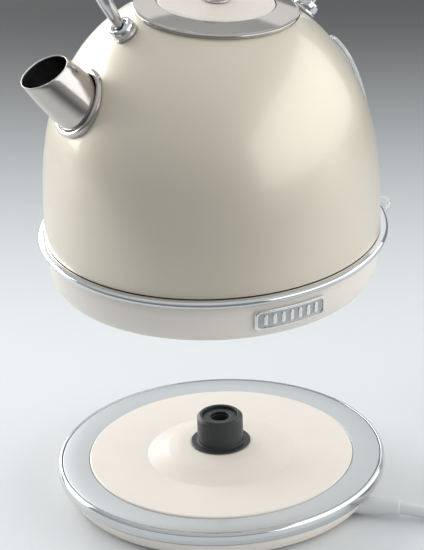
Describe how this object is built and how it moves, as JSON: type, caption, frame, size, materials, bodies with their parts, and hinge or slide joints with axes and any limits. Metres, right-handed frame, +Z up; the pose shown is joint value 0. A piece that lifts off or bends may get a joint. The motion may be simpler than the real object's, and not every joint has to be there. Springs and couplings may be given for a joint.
{
  "type": "cordless electric kettle",
  "caption": "Dome kettle with overhead handle, short spout and lift-out lid, shown lifted off its round power base with corded plug.",
  "frame": {"origin": "on the floor under the common axis of the power base and the kettle", "axes": "+Z up; spout towards -X, name plate towards -Y, water gauge and switch lever towards +X"},
  "size_m": [0.3232, 0.2258, 0.3734],
  "materials": {
    "pearl": "gloss pearl lacquer",
    "chrome": "mirror chrome plate",
    "steel": "satin to polished stainless steel",
    "ivory": "gloss ivory moulding",
    "black": "fine matte moulding",
    "clear": "clear moulding",
    "foot_rubber": "matte",
    "silicone": "satin silicone",
    "brass": "plain",
    "aluminium": "cast",
    "cord": "soft satin sheath"
  },
  "bodies": {
    "power_base": {"base_bottom_cover": "ivory", "base_chrome_rim": "chrome", "base_steel_ring": "steel", "base_top_cover": "ivory", "connector_tower": "black", "contact_pin": "brass", "base_foot_1": "foot_rubber", "base_foot_2": "foot_rubber", "base_foot_3": "foot_rubber", "base_foot_4": "foot_rubber", "base_screw_1": "steel", "base_screw_2": "steel", "base_screw_3": "steel", "cord_strain_relief": "cord", "cord_tube_in": "cord", "cord_tube_out": "cord", "cord_coil": "cord", "plug_body": "cord", "plug_pin_1": "steel", "plug_pin_2": "steel"},
    "shutter": {"connector_shutter": "black"},
    "kettle": {"body_shell": "pearl", "window_seal": "silicone", "level_window": "clear", "chrome_trim_ring": "chrome", "skirt": "ivory", "bottom_cover": "ivory", "bottom_screw_1": "steel", "bottom_screw_2": "steel", "bottom_screw_3": "steel", "name_plate": "steel", "heater_plate": "steel", "plate_seal": "silicone", "heating_element": "aluminium", "thermostat_control": "black", "connector_socket": "black", "socket_contact": "brass", "steam_tube": "silicone", "switch_housing": "black", "spout_tube": "steel", "spout_collar": "steel", "neck_ring": "steel", "front_lug": "chrome", "rear_lug": "chrome", "front_handle_arm": "chrome", "rear_handle_arm": "chrome", "grip_upper": "ivory", "grip_lower": "ivory", "grip_screw_1": "steel", "grip_screw_2": "steel"},
    "lid": {"lid_ring": "steel", "lid_centre": "ivory", "lid_inner_cup": "steel", "lid_seal": "silicone", "knob_stem": "chrome", "lid_knob": "ivory"},
    "switch": {"switch_lever": "clear", "switch_trim": "chrome"},
    "filter": {"filter_frame": "ivory", "filter_mesh": "steel"}
  },
  "joints": [
    {"name": "kettle_swivel", "type": "hinge", "parent": "power_base", "child": "shutter", "pos_m": [0, 0, 0.0434], "axis": [0, 0, 1], "continuous": true},
    {"name": "kettle_lift", "type": "slide", "parent": "shutter", "child": "kettle", "axis": [0, 0, 1], "range_m": [-0.1143, 0.05]},
    {"name": "lid_lift", "type": "slide", "parent": "kettle", "child": "lid", "axis": [0.0872, 0, 0.9962], "range_m": [0, 0.029]},
    {"name": "switch_rock", "type": "hinge", "parent": "kettle", "child": "switch", "pos_m": [0.0885, 0, 0.15], "axis": [0, 1, 0], "range_deg": [0, 12]},
    {"name": "filter_pull", "type": "slide", "parent": "kettle", "child": "filter", "axis": [0.8425, 0, -0.5388], "range_m": [0, 0.03]}
  ]
}
